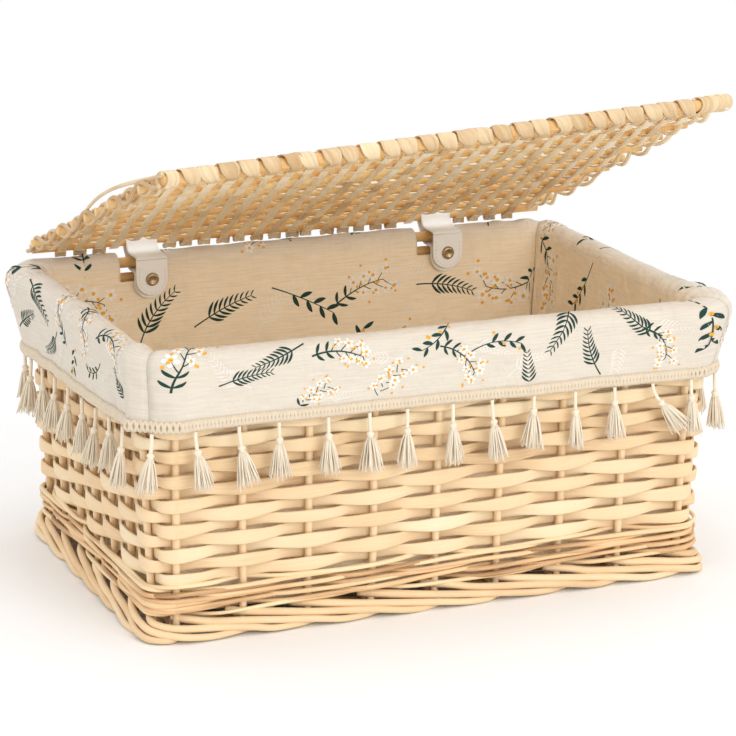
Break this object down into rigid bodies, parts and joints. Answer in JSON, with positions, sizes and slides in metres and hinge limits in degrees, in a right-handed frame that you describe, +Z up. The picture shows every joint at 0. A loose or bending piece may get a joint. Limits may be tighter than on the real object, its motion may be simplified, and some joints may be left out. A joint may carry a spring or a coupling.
{
  "type": "lidded sewing basket",
  "caption": "Rectangular woven willow sewing basket with a hinged woven lid, a printed cotton lining turned over the rim as a tasselled cuff, and two snap straps for hinges.",
  "frame": {"origin": "on the floor under the middle of the whole basket", "axes": "+X along the basket's length to its right, -Y to its front, +Z up"},
  "size_m": [0.4042, 0.2851, 0.3152],
  "materials": {
    "willow_pale": "matte",
    "willow_brown": "matte",
    "willow_honey": "satin",
    "willow_tan": "matte",
    "cotton_print": "matte",
    "cotton_trim": "matte",
    "strap_white": "satin",
    "stud_brass": "satin"
  },
  "bodies": {
    "basket": {"base_sticks": "willow_pale", "base_weave": "willow_pale", "foot_border": "willow_honey", "lining_back": "cotton_print", "lining_floor": "cotton_print", "lining_front": "cotton_print", "lining_left": "cotton_print", "lining_right": "cotton_print", "rim_lower_hoop": "willow_honey", "rim_upper_hoop": "willow_honey", "snap_stud_left": "stud_brass", "snap_stud_right": "stud_brass", "stakes_back": "willow_pale", "stakes_front": "willow_pale", "stakes_left": "willow_pale", "stakes_right": "willow_pale", "strap_left": "strap_white", "strap_right": "strap_white", "tassels_back": "cotton_trim", "tassels_front": "cotton_trim", "tassels_left": "cotton_trim", "tassels_right": "cotton_trim", "trim_braid": "cotton_trim", "wale_pair_1": "willow_brown", "wale_pair_2": "willow_brown", "wale_pair_3": "willow_brown", "weaver_row_01": "willow_pale", "weaver_row_02": "willow_pale", "weaver_row_03": "willow_pale", "weaver_row_04": "willow_pale", "weaver_row_05": "willow_pale", "weaver_row_06": "willow_pale", "weaver_row_07": "willow_pale", "weaver_row_08": "willow_pale", "weaver_row_09": "willow_pale", "weaver_row_10": "willow_pale", "weaver_row_11": "willow_pale", "weaver_row_12": "willow_pale", "weaver_row_13": "willow_pale", "weaver_row_14": "willow_pale", "weaver_row_15": "willow_pale", "weaver_row_16": "willow_pale"},
    "lid": {"lid_back_rail": "willow_honey", "lid_front_rail": "willow_honey", "lid_left_twine": "willow_tan", "lid_right_twine": "willow_tan", "lid_rods": "willow_honey", "lid_strips": "willow_tan"},
    "left_flap": {"strap_flap_left": "strap_white", "snap_cap_left": "stud_brass"},
    "right_flap": {"strap_flap_right": "strap_white", "snap_cap_right": "stud_brass"}
  },
  "joints": [
    {"name": "lid_hinge", "type": "hinge", "parent": "basket", "child": "lid", "pos_m": [0, 0.1356, 0.19], "axis": [-1, 0, 0], "range_deg": [-18.5, 155]},
    {"name": "left_flap_hinge", "type": "hinge", "parent": "basket", "child": "left_flap", "pos_m": [-0.108, 0.1096, 0.181], "axis": [-1, 0, 0], "range_deg": [0, 75]},
    {"name": "right_flap_hinge", "type": "hinge", "parent": "basket", "child": "right_flap", "pos_m": [0.108, 0.1096, 0.181], "axis": [-1, 0, 0], "range_deg": [0, 75]}
  ]
}
